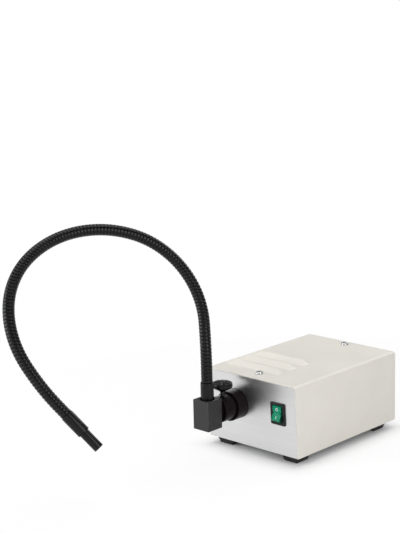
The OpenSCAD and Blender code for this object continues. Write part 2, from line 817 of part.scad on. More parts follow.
// Mains inlet: an open socket above, the fuse drawer's slot below
module inlet_socket() {
  face = rear_y + flange_t;
  color([0.1, 0.1, 0.1]) on_inlet() difference() {
    union() {
      along_y(rear_y, face) round_rect(flange_w, flange_h, 3);
      along_y(face - flange_t - inlet_d, rear_y + 0.1) square([inlet_w, inlet_h], center = true);
    }
    translate([0, 0, mouth_z]) along_y(face - mouth_d, face + over)
      square([mouth_w, mouth_h], center = true);
    translate([0, 0, drawer_z]) along_y(face - drawer_l - 1, face + over)
      square([drawer_w + 2 * gap, drawer_h + 2 * gap], center = true);
    for (side = [-1, 1]) translate([side * 20, 0, 0]) bar_y(1.7, rear_y - over, face + over);
  }
}

module inlet_pins() {
  tip = rear_y + flange_t - 2;
  floor_y = rear_y + flange_t - mouth_d;
  color([0.8, 0.72, 0.45]) on_inlet() for (p = [[-7, -2], [0, 2], [7, -2]])
    translate([p[0], 0, mouth_z + p[1]]) along_y(floor_y, tip) square([2, 4], center = true);
}

// Fuse drawer: a tray with a pull lip, and the fuse lying across it
module fuse_drawer() {
  face = rear_y + flange_t;
  front = face + 1.2;
  tray_h = drawer_h - tray_floor;
  color([0.12, 0.12, 0.12]) on_inlet() translate([0, 0, drawer_z]) difference() {
    union() {
      along_y(face - drawer_l, front) square([drawer_w, drawer_h], center = true);
      along_y(front - 0.1, front + 1.4) translate([-3, -drawer_h / 2]) square([6, 2]);
    }
    along_y(face - drawer_l + 2, face - 3) translate([-drawer_w / 2 - over, -drawer_h / 2 + tray_floor])
      square([drawer_w + 2 * over, tray_h + over]);
  }
}

module fuse() {
  middle = rear_y + flange_t - drawer_l / 2 - 0.5;
  color([0.8, 0.85, 0.88]) on_inlet() translate([0, middle, drawer_z - drawer_h / 2 + tray_floor + fuse_r])
    rotate([0, 90, 0]) cylinder(r = fuse_r, h = drawer_w - 0.6, center = true);
}

// Laminated core on its two feet
module transformer_core() {
  foot_out = 12;
  color([0.45, 0.46, 0.48]) translate([trafo_x, trafo_y, trafo_z]) {
    across_x(trafo_stack) difference() {
      translate([-trafo_l / 2, 0]) square([trafo_l, trafo_h]);
      for (side = [-1, 1]) translate([side * (trafo_leg + trafo_window / 2), trafo_h / 2])
        square([trafo_window, trafo_h - 2 * trafo_leg], center = true);
    }
    for (side = [-1, 1]) translate([0, side * (trafo_l + foot_out) / 2, 0]) linear_extrude(2) difference() {
      square([trafo_stack, foot_out], center = true);
      for (x = [-1, 1]) translate([x * (trafo_stack / 2 - 8), 0]) circle(r = m4_clear);
    }
  }
}

module transformer_coil() {
  coil_w = 2 * (trafo_leg + trafo_window - gap);
  coil_h = trafo_h - 2 * trafo_leg - 2 * gap;
  color([0.62, 0.34, 0.16]) translate([trafo_x, trafo_y, trafo_z + trafo_leg + gap])
    linear_extrude(coil_h) difference() {
      round_rect(trafo_stack + 2 * coil_over, coil_w, 6);
      square([trafo_stack + 2 * gap, 2 * (trafo_leg + gap)], center = true);
    }
}

// Reflector lamp: a deep bowl, rim forwards, on a ceramic base
module lamp_reflector() {
  wall = 1.8;
  y0 = rim_y;
  y1 = lamp_base_y;
  y2 = lamp_base_y + lamp_base_l;
  color([0.75, 0.78, 0.82]) on_port() turned_y()
    polygon([[lamp_r, y0], [lamp_r, y0 + 2.5], [lamp_r - 4, y0 + 11], [lamp_r - 10, y0 + 19], [lamp_neck_r, y1],
      [lamp_neck_r, y2], [0, y2], [0, y1], [lamp_neck_r - wall, y1], [lamp_r - 10 - wall, y0 + 18],
      [lamp_r - 4 - wall, y0 + 10], [lamp_r - wall - 1, y0]]);
}

module at_lamp_pins() {
  on_port() for (side = [-1, 1]) translate([side * pin_gap, 0, 0]) children();
}

// Capsule: the bulb on the lamp's axis, and the two pins behind the base
module lamp_capsule() {
  base_back = lamp_base_y + lamp_base_l;
  color([0.9, 0.92, 0.95]) {
    on_port() bar_y(4.5, rim_y + 8, lamp_base_y);
    at_lamp_pins() bar_y(lamp_pin_r, base_back, base_back + lamp_pin_l);
  }
}

module lamp_socket() {
  color([0.9, 0.89, 0.84]) difference() {
    on_port() along_y(lamp_socket_y, lamp_socket_back) round_rect(20, 14, 2);
    at_lamp_pins() bar_y(lamp_pin_r + fit, lamp_socket_y - over, lamp_socket_y + lamp_pin_l + 1);
  }
}

// Heat filter: a glass disc held against the bulkhead
module heat_filter() {
  color([0.7, 0.85, 0.82]) on_port() bar_y(18.5, bulkhead_y + sheet, bulkhead_y + sheet + 3);
}

// Lamp bracket: the reflector's rim sits against its round window
module lamp_bracket() {
  half = 32;
  color([0.7, 0.71, 0.72]) difference() {
    union() {
      translate([port_x - half, rim_y - sheet, pan_top]) cube([2 * half, sheet, port_z + half - pan_top]);
      translate([port_x - half, rim_y - sheet, pan_top]) cube([2 * half, 16, sheet]);
    }
    on_port() bar_y(lamp_r - 2.5, rim_y - sheet - over, rim_y + over);
  }
}

module terminal_strip() {
  color([0.9, 0.89, 0.84]) translate([strip_x, strip_y, pan_top]) difference() {
    translate([-strip_l / 2, -strip_w / 2, 0]) cube([strip_l, strip_w, strip_h]);
    for (x = [-12, 0, 12], y = [-4, 4]) translate([x, y, strip_h - 5]) cylinder(r = 2.4, h = 6);
  }
}

// A lead from point to point: eight-sided runs that lap over one another at each corner
module lead_run(path) {
  for (k = [0:len(path) - 2]) let (d = path[k + 1] - path[k], l = norm(d))
    translate(path[k]) rotate([0, acos(d[2] / l), atan2(d[1], d[0])]) translate([0, 0, -lead_r])
      cylinder(r = lead_r, h = l + 2 * lead_r, $fn = 8);
}

// Leads: inlet to strip, strip to transformer, transformer to lamp socket, strip to switch
module inner_leads() {
  off = lead_r + 0.15;
  strip_top = pan_top + strip_h + off;
  coil_top = trafo_z + trafo_h + off;
  lamp_back = lamp_socket_back + off;
  inlet_back = rear_y - inlet_d - off;
  high = coil_top + 6;
  switch_back = front_y(switch_z) + switch_d + 10;
  color([0.25, 0.2, 0.2]) {
    for (x = [-5, 5]) {
      lead_run([[inlet_x + x, inlet_back, inlet_z], [inlet_x + x, strip_y + 4, inlet_z],
        [inlet_x + x, strip_y + 4, strip_top]]);
      lead_run([[trafo_x + x, strip_y - 4, strip_top], [trafo_x + x, strip_y - 4, high],
        [trafo_x + x, trafo_y, high], [trafo_x + x, trafo_y, coil_top]]);
    }
    for (x = [-3, 3]) let (y = trafo_y + 10 + x)
      lead_run([[port_x + x, lamp_back, port_z], [port_x + x, y, port_z], [port_x + x, y, high - 4],
        [trafo_x - 12, y, high - 4], [trafo_x - 12, y, coil_top]]);
    lead_run([[switch_x, switch_back, switch_z], [switch_x, switch_back + 12, switch_z],
      [switch_x, switch_back + 12, high], [switch_x, trafo_y - 14, high], [switch_x, trafo_y - 14, coil_top]]);
  }
}

cover();
front_panel();
base_pan();
rear_panel();
foot(-1, -1);  // foot_front_left
foot(1, -1);  // foot_front_right
foot(-1, 1);  // foot_rear_left
foot(1, 1);  // foot_rear_right
foot_screws();
cover_screws();
lamp_bulkhead();
port_ring();
guide_socket();
clamp_pad();
clamp_stud();
clamp_knob();
guide_spigot();
bundle_inlet();
elbow_block();
bundle_elbow();
neck_ferrule();
neck_bundle(0);  // neck_bundle_1
neck_bundle(1);  // neck_bundle_2
neck_bundle(2);  // neck_bundle_3
neck_bundle(3);  // neck_bundle_4
neck_bundle(4);  // neck_bundle_5
neck_bundle(5);  // neck_bundle_6
neck_bundle(6);  // neck_bundle_7
neck_bundle(7);  // neck_bundle_8
neck_hose(0);  // neck_hose_1
neck_hose(1);  // neck_hose_2
neck_hose(2);  // neck_hose_3
neck_hose(3);  // neck_hose_4
neck_hose(4);  // neck_hose_5
neck_hose(5);  // neck_hose_6
neck_hose(6);  // neck_hose_7
neck_hose(7);  // neck_hose_8
tip_sleeve();
tip_nose();
tip_fibres();
switch_body();
switch_rocker();
switch_terminals();
fan_frame();
fan_rotor();
fan_guard();
fan_screws();
inlet_socket();
inlet_pins();
fuse_drawer();
fuse();
transformer_core();
transformer_coil();
lamp_reflector();
lamp_capsule();
lamp_socket();
heat_filter();
lamp_bracket();
terminal_strip();
inner_leads();
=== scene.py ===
import json
import math

import bmesh
import bpy
from mathutils import Matrix, Vector


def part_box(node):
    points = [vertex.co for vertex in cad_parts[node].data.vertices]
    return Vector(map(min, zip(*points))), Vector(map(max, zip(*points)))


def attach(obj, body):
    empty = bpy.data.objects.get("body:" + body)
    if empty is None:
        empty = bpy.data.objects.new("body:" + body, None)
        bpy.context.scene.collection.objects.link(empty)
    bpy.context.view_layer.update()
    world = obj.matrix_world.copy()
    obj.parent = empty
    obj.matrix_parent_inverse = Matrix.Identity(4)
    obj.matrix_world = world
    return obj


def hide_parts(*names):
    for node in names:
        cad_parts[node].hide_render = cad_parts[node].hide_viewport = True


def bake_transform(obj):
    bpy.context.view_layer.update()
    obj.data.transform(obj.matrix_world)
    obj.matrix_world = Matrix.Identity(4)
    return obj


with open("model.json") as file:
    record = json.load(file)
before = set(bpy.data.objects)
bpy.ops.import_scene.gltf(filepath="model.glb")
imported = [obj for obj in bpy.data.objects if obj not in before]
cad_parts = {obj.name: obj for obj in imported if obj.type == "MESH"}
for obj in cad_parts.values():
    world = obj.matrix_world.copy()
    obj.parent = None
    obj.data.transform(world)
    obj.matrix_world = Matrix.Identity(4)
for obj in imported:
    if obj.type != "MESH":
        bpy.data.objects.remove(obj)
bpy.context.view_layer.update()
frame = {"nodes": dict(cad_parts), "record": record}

MM = 0.001
CAD = frame["nodes"]
SLOT_OF = {part["node"]: part["material_slot"] for part in frame["record"]["subparts"]}

# Sizes repeated from the CAD source, in millimetres and degrees
PORT_X, PORT_Z = -26.5, 69.0
BODY_W, BODY_D, BODY_H, FRONT_LEAN = 160.0, 222.0, 100.6, 4.7
COVER_TOP = 111.8
LEAN = math.atan(FRONT_LEAN / BODY_H)
LINK_BEND = (31, 36, 41, 28, 33, 38, 38, 12)
LINK_TURN = (139, 104, 10, -17, 21, -2, -15, 18)
LINK_COUNT = len(LINK_BEND)
LINK_L, STRAIGHT, RIBS = 80.5, 14.0, 17
RIB_R, GROOVE_R, BORE_R = 7.8, 7.0, 5.9
FITTING_BORE_R = 5.5
SLEEVE_R, SLEEVE_L = 8.4, 31.0
NOSE_R, NOSE_L, NOSE_BORE_R, NOSE_DEPTH = 6.6, 27.0, 4.5, 12.0


def front_y(z):
    """The depth of the leaning front at height z."""
    return -BODY_D / 2 + FRONT_LEAN * (COVER_TOP - z) / BODY_H


def extent(node):
    """Lowest corner, highest corner and middle of a CAD node, in millimetres."""
    low, high = (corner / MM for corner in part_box(node))
    return low, high, (low + high) / 2


# ---------------------------------------------------------------- materials

def linear(colour):
    """An sRGB colour of 0 to 255 as the linear colour that the shader takes."""
    out = []
    for c in colour:
        c = c / 255
        out.append(c / 12.92 if c <= 0.04045 else ((c + 0.055) / 1.055) ** 2.4)
    return (*out, 1.0)


# The finished materials by name: those of the CAD's slots carry the slot's name
FINISH = {}


class Nodes:
    """A node tree in the making."""

    def __init__(self, tree):
        self.tree = tree
        tree.nodes.clear()

    def node(self, kind, values=None, **settings):
        """A new node: values go to its sockets, by number or name, and settings to its options."""
        node = self.tree.nodes.new("ShaderNode" + kind)
        for key, value in settings.items():
            setattr(node, key, value)
        for key, value in (values or {}).items():
            self.put(node.inputs[key], value)
        return node

    def put(self, socket, value):
        """Links a socket to the output of another node, or gives it a plain value."""
        if isinstance(value, bpy.types.NodeSocket):
            self.tree.links.new(value, socket)
        else:
            socket.default_value = value

    def math(self, operation, a, b=0.0):
        """One operation on two values."""
        return self.node("Math", {0: a, 1: b}, operation=operation).outputs[0]

    def mixed(self, a, b, share):
        """Share of a, and the rest of b."""
        return self.math("ADD", self.math("MULTIPLY", a, share),
                         self.math("MULTIPLY", b, 1 - share))

    def ramp(self, value, low, high, to_low=0.0, to_high=1.0):
        """A smooth step: to_low where the value is low, to_high where it is high."""
        return self.node("MapRange", {0: value, 1: low, 2: high, 3: to_low, 4: to_high},
                         interpolation_type="SMOOTHSTEP").outputs[0]

    def widened(self, noise, to_low=0.0, to_high=1.0):
        """Noise mostly lies between 0.3 and 0.7: that range brought to to_low and to_high."""
        return self.ramp(noise, 0.3, 0.7, to_low, to_high)

    def seen(self):
        """1 for rays that show a thing, also mirrored or through glass, and 0 for its light."""
        ray = self.node("LightPath").outputs
        seen = ray["Is Camera Ray"]
        for kind in ("Is Glossy Ray", "Is Transmission Ray"):
            seen = self.math("MAXIMUM", seen, ray[kind])
        return seen


class Shader(Nodes):
    """A node material in the making, with a principled surface. FINISH keeps it under its name."""

    def __init__(self, name):
        self.material = FINISH[name] = bpy.data.materials.new(name)
        self.material.use_nodes = True
        super().__init__(self.material.node_tree)
        self.bsdf = self.node("BsdfPrincipled")
        self.out = self.node("OutputMaterial", {"Surface": self.bsdf.outputs[0]})
        self.where = self.node("TexCoord").outputs["Object"]

    def set(self, **values):
        """Sockets of the principled surface, with _ for each space in their names."""
        for key, value in values.items():
            self.put(self.bsdf.inputs[key.replace("_", " ")], value)

    def noise(self, scale, detail=2.0, stretch=None, rough=0.5):
        """Noise of a scale per metre, times stretch along each axis."""
        where = self.where
        if stretch:
            where = self.node("Mapping", {0: where, "Scale": stretch}).outputs[0]
        return self.node("TexNoise", {"Vector": where, "Scale": scale, "Detail": detail,
                                      "Roughness": rough}).outputs[0]

    def bands(self, scale, axis, distortion, detail, detail_scale):
        """Uneven bands, one after another along an axis."""
        return self.node("TexWave", {"Vector": self.where, "Scale": scale, "Distortion": distortion,
                                     "Detail": detail, "Detail Scale": detail_scale},
                         wave_type="BANDS", bands_direction=axis).outputs["Fac"]

    def blend(self, factor, a, b):
        """Colour a where factor is 0 and b where it is 1."""
        return self.node("Mix", {0: factor, 6: a, 7: b}, data_type="RGBA").outputs[2]

    def bump(self, height, depth):
        """The normal of a relief that is depth metres deep."""
        return self.node("Bump", {"Strength": 1.0, "Distance": depth, "Height": height}).outputs[0]

    def edges(self, width):
        """1 on edges and corners within the width, 0 on flat faces."""
        soft = self.node("Bevel", {"Radius": width}, samples=4).outputs[0]
        true = self.node("NewGeometry").outputs["Normal"]
        cosine = self.node("VectorMath", {0: soft, 1: true}, operation="DOT_PRODUCT")
        return self.ramp(cosine.outputs["Value"], 0.995, 0.80)


def scaled(colour, by):
    """A linear colour made darker or lighter."""
    return (*[min(c * by, 1.0) for c in colour[:3]], 1.0)


def surface(name, colour, rough, spread=0.05, blotch=28.0, grain=1400.0, depth=1e-5,
            metallic=0.0, stretch=None, wear_and_highlight=None, **sockets):
    """A finish with broad uneven tone, fine grain in the relief, and edges painted lighter where
    asked, partly worn and partly a painted highlight: their colour and roughness, the width of the
    edge, and how much of it is painted."""
    s = Shader(name)
    base = linear(colour)
    broad = s.noise(blotch, 4.0, rough=0.6)
    fine = s.noise(grain, 3.0, stretch)
    tone = s.ramp(s.mixed(broad, fine, 0.6), 0.32, 0.68)
    paint = s.blend(tone, scaled(base, 1 - spread), scaled(base, 1 + spread))
    shine = s.widened(s.mixed(broad, fine, 0.7), max(rough - 0.06, 0.02), rough + 0.06)
    # The lighter edges are partly worn, and on the cover and the block also a painted highlight
    if wear_and_highlight:
        edge_colour, edge_roughness, width, amount = wear_and_highlight
        edge_breakup = s.ramp(s.noise(220.0, 4.0, rough=0.7), 0.42, 0.62)
        mask = s.math("MULTIPLY", s.math("MULTIPLY", s.edges(width), edge_breakup), amount)
        paint = s.blend(mask, paint, linear(edge_colour))
        shine = s.node("Mix", {0: mask, 2: shine, 3: edge_roughness}).outputs[0]
    s.set(Base_Color=paint, Roughness=shine, Normal=s.bump(fine, depth), Metallic=metallic,
          **sockets)


def brushed_panel():
    """Aluminium brushed from side to side, with a painted highlight along its edges."""
    s = Shader("front_aluminium")
    hair = s.noise(1.0, 3.0, (14, 14, 5200), rough=0.7)
    band = s.noise(1.0, 4.0, (6, 6, 1500), rough=0.75)
    mark = s.noise(26.0, 4.0)
    tone = s.mixed(hair, band, 0.65)
    metal = s.blend(s.widened(tone), linear((208, 208, 209)), linear((224, 224, 224)))
    # Painted highlight: the edges blended halfway towards near-white
    metal = s.blend(s.math("MULTIPLY", s.edges(0.0008), 0.5), metal, linear((240, 240, 240)))
    shine = s.widened(s.mixed(tone, mark, 0.6), 0.27, 0.38)
    s.set(Base_Color=metal, Roughness=shine, Normal=s.bump(hair, 4e-6), Metallic=1.0)


def turned_metal(name, colour, rough, pitch, axis="Z", metallic=0.0, spread=0.12, **sockets):
    """A satin finish with fine tool lines round an axis, and a painted highlight in patches on its
    edges.
    """
    s = Shader(name)
    base = linear(colour)
    lines = s.bands(1.0 / pitch, axis, 1.5, 2.0, 300.0)
    tone = s.mixed(s.noise(45.0, 4.0), s.noise(2200.0), 0.7)
    paint = s.blend(s.widened(tone), scaled(base, 1 - spread), scaled(base, 1 + spread))
    # Painted highlight: patches of the edges made three times lighter
    painted_highlight_share = s.ramp(s.noise(300.0, 3.0), 0.4, 0.65, 0.0, 0.35)
    paint = s.blend(s.math("MULTIPLY", s.edges(0.0005), painted_highlight_share), paint, scaled(base, 3.0))
    shine = s.widened(tone, rough - 0.05, rough + 0.06)
    s.set(Base_Color=paint, Roughness=shine, Normal=s.bump(lines, 4e-6), Metallic=metallic,
          **sockets)


def zinc_sheet():
    """Zinc plated sheet with a faint spangle."""
    s = Shader("plated_sheet")
    flake = s.node("TexVoronoi", {"Vector": s.where, "Scale": 160.0}).outputs["Color"]
    value = s.node("SeparateColor", {0: flake}).outputs[0]
    metal = s.blend(value, linear((176, 179, 182)), linear((206, 208, 208)))
    s.set(Base_Color=metal, Roughness=s.ramp(value, 0.0, 1.0, 0.30, 0.46),
          Normal=s.bump(s.noise(1800.0, 3.0), 8e-6), Metallic=0.95)


def laminations():
    """Stacked steel sheets, seen as fine stripes across their edges."""
    s = Shader("lamination_steel")
    stripe = s.bands(310.0, "X", 0.8, 3.0, 60.0)
    rust = s.noise(90.0, 4.0)
    metal = s.blend(stripe, linear((70, 72, 76)), linear((122, 124, 128)))
    metal = s.blend(s.ramp(rust, 0.62, 0.78, 0.0, 0.5), metal, linear((112, 78, 52)))
    s.set(Base_Color=metal, Roughness=s.widened(rust, 0.35, 0.55),
          Normal=s.bump(stripe, 4e-5), Metallic=0.7)


def tape():
    """Amber tape wound over enamelled copper."""
    s = Shader("winding_tape")
    turn = s.bands(55.0, "Z", 1.2, 2.0, 40.0)
    colour = s.blend(s.ramp(turn, 0.2, 0.9), linear((150, 92, 38)), linear((198, 140, 66)))
    s.set(Base_Color=colour, Roughness=s.widened(s.noise(900.0, 3.0), 0.30, 0.45),
          Normal=s.bump(turn, 6e-5), Coat_Weight=0.3)


def fibre_face():
    """The polished end of a packed fibre bundle."""
    s = Shader("glass_fibre")
    cell = s.node("TexVoronoi", {"Vector": s.where, "Scale": 2600.0},
                  feature="DISTANCE_TO_EDGE").outputs[0]
    glass = s.ramp(cell, 0.03, 0.12)
    core = s.blend(s.noise(700.0), linear((196, 208, 200)), linear((236, 240, 236)))
    s.set(Base_Color=s.blend(glass, linear((46, 44, 40)), core),
          Roughness=s.ramp(glass, 0.0, 1.0, 0.6, 0.12), Normal=s.bump(glass, 8e-6), IOR=1.6)


def clear_glass(name, colour, rough, ior=1.5):
    """Faintly tinted glass with a little haze."""
    s = Shader(name)
    haze = s.noise(60.0, 4.0)
    tint = s.blend(haze, scaled(linear(colour), 0.94), linear(colour))
    s.set(Base_Color=tint, Roughness=s.widened(haze, rough, rough + 0.06),
          Normal=s.bump(s.noise(400.0), 1e-6), Transmission_Weight=0.92, IOR=ior)


def rocker_plastic():
    """Green faces over a body with painted shade darkening its sides, and clouded like translucent
    plastic.
    """
    s = Shader("rocker_green")
    cloud = s.noise(190.0, 4.0, rough=0.6)
    facing = s.node("SeparateXYZ", {0: s.node("TexCoord").outputs["Normal"]}).outputs[0]
    # Painted shade: faces turned to the sides blended towards dark green
    side = s.ramp(s.math("ABSOLUTE", facing), 0.55, 0.9)
    green = s.blend(s.widened(cloud), linear((0, 124, 90)), linear((4, 146, 110)))
    green = s.blend(side, green, linear((4, 50, 40)))
    s.set(Base_Color=green, Roughness=s.widened(cloud, 0.26, 0.36),
          Normal=s.bump(s.noise(2400.0), 2e-6), Specular_IOR_Level=0.16)


# The cover's lighter edges are partly worn and partly a painted highlight along them
surface("cream_paint", (224, 220, 212), 0.40, spread=0.022, blotch=24, grain=900, depth=1.6e-5,
        wear_and_highlight=((236, 233, 226), 0.30, 0.0012, 0.6), Specular_IOR_Level=0.45)
brushed_panel()
zinc_sheet()
surface("foot_rubber", (34, 33, 34), 0.62, spread=0.25, blotch=60, grain=1500, depth=3e-5,
        wear_and_highlight=((74, 72, 70), 0.8, 0.001, 0.5), Specular_IOR_Level=0.35)
turned_metal("stud_black", (20, 20, 21), 0.30, 0.0006, Specular_IOR_Level=0.4)
turned_metal("screw_steel", (186, 188, 190), 0.14, 0.0006, metallic=1.0, spread=0.06)
turned_metal("port_anodised", (17, 9, 11), 0.30, 0.0005, "Y", Specular_IOR_Level=0.09)
turned_metal("clamp_brass", (196, 164, 92), 0.30, 0.0004, metallic=1.0)
surface("knob_plastic", (14, 14, 16), 0.30, spread=0.2, blotch=80, grain=1700, depth=1.2e-5,
        wear_and_highlight=((86, 86, 88), 0.5, 0.0006, 0.35), Specular_IOR_Level=0.2)
# The block's light edges are a painted highlight, broken up by noise
surface("block_anodised", (37, 36, 38), 0.44, spread=0.08, blotch=45, grain=2200, depth=8e-6,
        metallic=0.2, wear_and_highlight=((150, 148, 148), 0.4, 0.0008, 0.8))
surface("hose_black", (9, 9, 10), 0.22, spread=0.25, blotch=70, grain=1300, depth=4e-6,
        wear_and_highlight=((48, 48, 48), 0.4, 0.0004, 0.08), Specular_IOR_Level=0.24)
surface("sheath_black", (30, 30, 31), 0.6, spread=0.2, blotch=70, grain=1500, depth=1.5e-5)
fibre_face()
turned_metal("tip_black", (13, 12, 14), 0.27, 0.0005, Specular_IOR_Level=0.24)
surface("switch_black", (15, 15, 16), 0.42, spread=0.15, blotch=80, grain=2600, depth=1.2e-5,
        Specular_IOR_Level=0.3)
rocker_plastic()
turned_metal("terminal_brass", (206, 192, 150), 0.32, 0.0007, metallic=1.0)
surface("fan_black", (28, 28, 29), 0.48, spread=0.25, blotch=90, grain=900, depth=1.2e-5,
        stretch=(1, 3, 1))
turned_metal("guard_wire", (210, 212, 214), 0.22, 0.0011, metallic=1.0, spread=0.06)
surface("inlet_black", (27, 27, 28), 0.44, spread=0.2, blotch=80, grain=2400, depth=1.4e-5)
clear_glass("fuse_glass", (222, 236, 238), 0.04)
laminations()
tape()
surface("reflector_glass", (176, 190, 206), 0.18, spread=0.12, blotch=70, grain=700,
        depth=1.5e-5, metallic=0.6, Coat_Weight=0.6)
clear_glass("capsule_quartz", (240, 243, 246), 0.03, 1.46)
surface("ceramic_white", (226, 222, 210), 0.55, blotch=70, grain=1600, depth=1.5e-5)
clear_glass("filter_glass", (188, 226, 214), 0.05, 1.52)
surface("lead_rubber", (110, 84, 78), 0.5, spread=0.15, blotch=120, grain=1800)
surface("mark_white", (226, 232, 228), 0.45, spread=0.04, blotch=300, grain=3000, depth=4e-6)

# ---------------------------------------------------------------- mesh helpers


def circle(count):
    """Outline function of a circle: its size is the radius."""
    turns = [2 * math.pi * k / count for k in range(count)]
    return lambda r: [(r * math.cos(t), r * math.sin(t)) for t in turns]


def box_outline(width, height, radius, steps=6):
    """Outline function of a round-cornered rectangle: its size is how far inside that it lies."""
    def outline(inset):
        r = max(radius - inset, 0.05)
        half_w, half_h = width / 2 - inset - r, height / 2 - inset - r
        points = []
        for quarter, (sx, sy) in enumerate(((1, 1), (-1, 1), (-1, -1), (1, -1))):
            for k in range(steps + 1):
                t = math.pi / 2 * (quarter + k / steps)
                points.append((sx * half_w + r * math.cos(t), sy * half_h + r * math.sin(t)))
        return points
    return outline


def eased(points, radius, steps=3, closed=False):
    """The polyline with its corners rounded, short of the middle of each side."""
    n = len(points)
    out = []
    for i, p in enumerate(points):
        if not closed and i in (0, n - 1):
            out.append(p)
            continue
        here = Vector(p)
        to_last, to_next = Vector(points[i - 1]) - here, Vector(points[(i + 1) % n]) - here
        short = min(to_last.length, to_next.length) < 1e-6
        if short or to_last.angle(to_next) > math.radians(172):
            out.append(p)
            continue
        cut = min(radius, 0.45 * to_last.length, 0.45 * to_next.length)
        a, b = here + to_last.normalized() * cut, here + to_next.normalized() * cut
        for k in range(steps + 1):
            t = k / steps
            out.append(tuple((1 - t) ** 2 * a + 2 * t * (1 - t) * here + t * t * b))
    return out


def rings_of(outline, profile):
    """Rings of points for a profile of (size, height) pairs."""
    return [[Vector((x, y, h)) for x, y in outline(size)] for size, h in profile]


def stacked(*boxes):
    """Rings of round-cornered boxes in a row, each a width, height, corner radius and profile."""
    rings = []
    for width, height, radius, profile in boxes:
        rings += rings_of(box_outline(width, height, radius, 5), profile)
    return rings


def on_y(x, z):
    """Placement that lays a profile's height along +Y, through x and z."""
    return Matrix(((1, 0, 0, x), (0, 0, 1, 0), (0, 1, 0, z), (0, 0, 0, 1)))


def on_z(x, y):
    """Placement that stands a profile upright at x and y."""
    return Matrix.Translation((x, y, 0))


def turned(degrees, axis):
    """Placement that turns a thing about an axis."""
    return Matrix.Rotation(math.radians(degrees), 4, axis)


UP, BACK, DOWN = turned(0, "X"), turned(-90, "X"), turned(180, "X")


def shell(rings, loop=False, place=UP):
    """Vertices and faces of the closed skin over the rings: capped, or joined up as a loop."""
    n = len(rings[0])
    verts = [place @ p for ring in rings for p in ring]
    faces = []
    for j in range(len(rings) if loop else len(rings) - 1):
        a, b = j * n, (j + 1) % len(rings) * n
        faces += [(a + k, a + (k + 1) % n, b + (k + 1) % n, b + k) for k in range(n)]
    if not loop:
        last = (len(rings) - 1) * n
        faces += [tuple(range(n)), tuple(range(last, last + n))]
    return verts, faces


def skin_mesh(name, skins, scale=1.0):
    """One mesh of closed skins, each given by its vertices and faces."""
    mesh = bpy.data.meshes.new(name)
    bm = bmesh.new()
    for verts, faces in skins:
        made = [bm.verts.new(v * scale) for v in verts]
        for face in faces:
            bm.faces.new([made[k] for k in face])
    bmesh.ops.recalc_face_normals(bm, faces=bm.faces)
    bm.to_mesh(mesh)
    bm.free()
    return mesh


def add(name, data):
    """A new object in the scene."""
    obj = bpy.data.objects.new(name, data)
    bpy.context.scene.collection.objects.link(obj)
    return obj


def make(name, skins, slot, body=None, replaces=(), sharp=38.0, finish=None):
    """One object in metres out of skins in millimetres, in the finish of its slot or another."""
    mesh = skin_mesh(name, skins, MM)
    mesh.shade_smooth()
    mesh.set_sharp_from_angle(angle=math.radians(sharp))
    mesh.materials.append(FINISH[finish or slot])
    obj = add(name, mesh)
    if body:
        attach(obj, body)
    if replaces:
        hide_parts(*replaces)
    return obj


def carved(skins, cutters, place):
    """The skins with the cutters taken out of them, as one skin, then put in its place."""
    target = add("carve_target", skin_mesh("carve_target", skins))
    tools = [add("carve_tool", skin_mesh("carve_tool", [cutter])) for cutter in cutters]
    for tool in tools:
        cut = target.modifiers.new("cut", "BOOLEAN")
        cut.operation, cut.object, cut.solver = "DIFFERENCE", tool, "EXACT"
    bpy.context.view_layer.update()
    done = target.evaluated_get(bpy.context.evaluated_depsgraph_get()).to_mesh()
    verts = [place @ v.co for v in done.vertices]
    faces = [tuple(p.vertices) for p in done.polygons]
    for obj in [target, *tools]:
        mesh = obj.data
        bpy.data.objects.remove(obj)
        bpy.data.meshes.remove(mesh)
    return verts, faces


def soften(**widths):
    """Rounds the edges of CAD nodes with modifiers, each node by its width in millimetres."""
    for node, width in widths.items():
        obj = CAD[node]
        weld = obj.modifiers.new("weld", "WELD")
        weld.merge_threshold = 2e-6
        bevel = obj.modifiers.new("round", "BEVEL")
        bevel.width, bevel.segments = width * MM, 2
        bevel.limit_method, bevel.angle_limit = "ANGLE", math.radians(40)
        bevel.use_clamp_overlap = True
        normals = obj.modifiers.new("normals", "WEIGHTED_NORMAL")
        normals.keep_sharp = True


# ---------------------------------------------------------------- gooseneck

def centre(link, s):
    """The centre line of a link at length s, in the link's frame, and the bend up to there."""
    lead = STRAIGHT if link == 0 else 0.0
    tail = STRAIGHT if link == LINK_COUNT - 1 else 0.0
    whole = math.radians(LINK_BEND[link])
    radius = (LINK_L - lead - tail) / whole
    bend = min(max((s - lead) / radius, 0.0), whole)
    rest = s - lead - radius * bend
    point = Vector((radius * (1 - math.cos(bend)), 0, lead + radius * math.sin(bend)))
    return point + rest * Vector((math.sin(bend), 0, math.cos(bend))), bend


def link_frames():
    """The frame at the start of each link, and the frame at the tip."""
    _, high, middle = extent("neck_ferrule")
    frames = []
    at = Matrix.Translation((middle.x, middle.y, high.z))
    for link, turn in enumerate(LINK_TURN):
        at = at @ turned(turn, "Z")
        frames.append(at)
        point, bend = centre(link, LINK_L)
        at = at @ Matrix.Translation(point) @ Matrix.Rotation(bend, 4, "Y")
    return frames, at


LINKS, TIP = link_frames()


def neck_point(s):
    """Point and direction of the gooseneck's centre line at length s from the ferrule."""
    link = min(int(s / LINK_L + 1e-9), LINK_COUNT - 1)
    point, bend = centre(link, s - link * LINK_L)
    along = LINKS[link].to_3x3() @ Vector((math.sin(bend), 0, math.cos(bend)))
    return LINKS[link] @ point, along.normalized()


RIB_STEPS, HOSE_SIDES = 8, 28
PITCH = LINK_L / RIBS
LINK_STEPS = RIB_STEPS * RIBS


